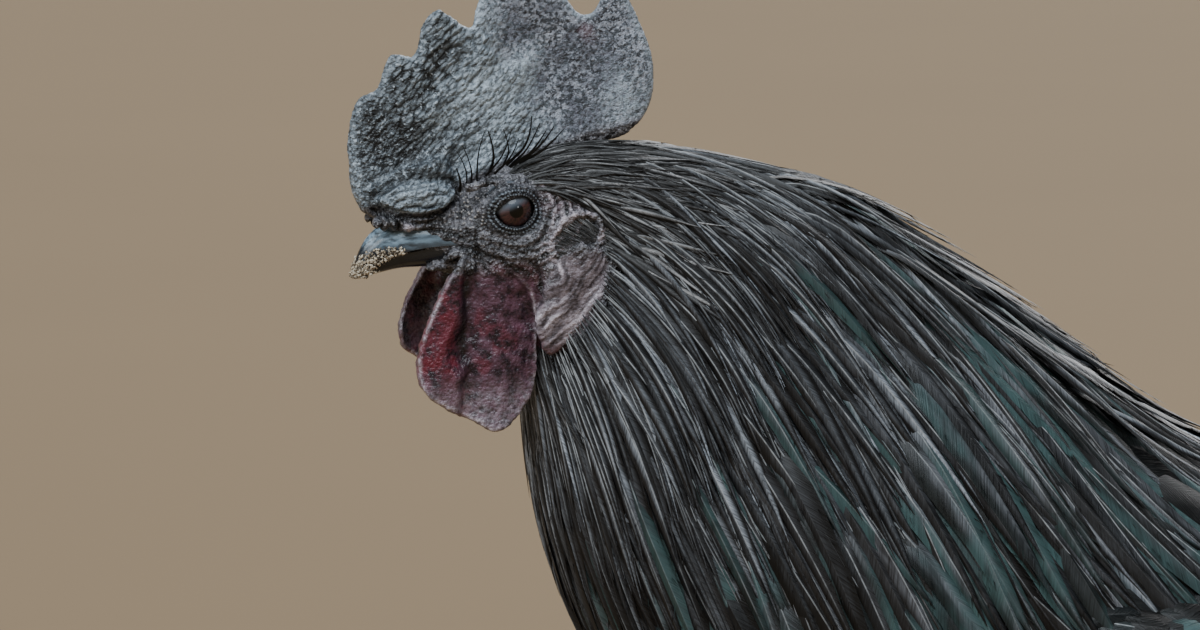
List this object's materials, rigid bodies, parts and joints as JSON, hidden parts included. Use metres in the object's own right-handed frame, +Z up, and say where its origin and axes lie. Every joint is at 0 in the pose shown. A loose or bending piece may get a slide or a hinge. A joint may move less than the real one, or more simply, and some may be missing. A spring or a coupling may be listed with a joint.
{
  "type": "rooster",
  "caption": "Life-size black rooster standing with its neck stretched forward: tall single comb, hanging wattles, long hackles and arched sickle tail feathers.",
  "frame": {"origin": "middle of the bird's length and width, on the plane its feet stand on", "axes": "-X the way the bird faces, -Y its left side, +Z up"},
  "size_m": [0.6583, 0.16, 0.4918],
  "materials": {
    "skin": "pebbled bare skin",
    "comb": "wrinkled, slightly waxy skin",
    "wattle": "wrinkled skin",
    "bill": "polished horn",
    "eye": "wet and glossy",
    "plumage": "silky feathers with a cool sheen",
    "tail": "glossy feathers with a green sheen",
    "leg": "scaled skin",
    "claw": "dull horn"
  },
  "bodies": {
    "root": {"head": "skin", "neck": "plumage", "trunk": "plumage", "bill_upper": "bill", "bill_lower": "bill", "comb": "comb", "wattle_left": "wattle", "earlobe_left": "skin", "eye_left": "eye", "wing_left": "plumage", "thigh_left": "plumage", "shank_left": "leg", "spur_left": "claw", "toe_left_inner": "leg", "claw_left_inner": "claw", "toe_left_middle": "leg", "claw_left_middle": "claw", "toe_left_outer": "leg", "claw_left_outer": "claw", "toe_left_hind": "leg", "claw_left_hind": "claw", "sickle_left_main": "tail", "sickle_left_second": "tail", "sickle_left_third": "tail", "sickle_left_fourth": "tail", "wattle_right": "wattle", "earlobe_right": "skin", "eye_right": "eye", "wing_right": "plumage", "thigh_right": "plumage", "shank_right": "leg", "spur_right": "claw", "toe_right_inner": "leg", "claw_right_inner": "claw", "toe_right_middle": "leg", "claw_right_middle": "claw", "toe_right_outer": "leg", "claw_right_outer": "claw", "toe_right_hind": "leg", "claw_right_hind": "claw", "sickle_right_main": "tail", "sickle_right_second": "tail", "sickle_right_third": "tail", "sickle_right_fourth": "tail", "tail_fan": "tail"}
  },
  "joints": []
}
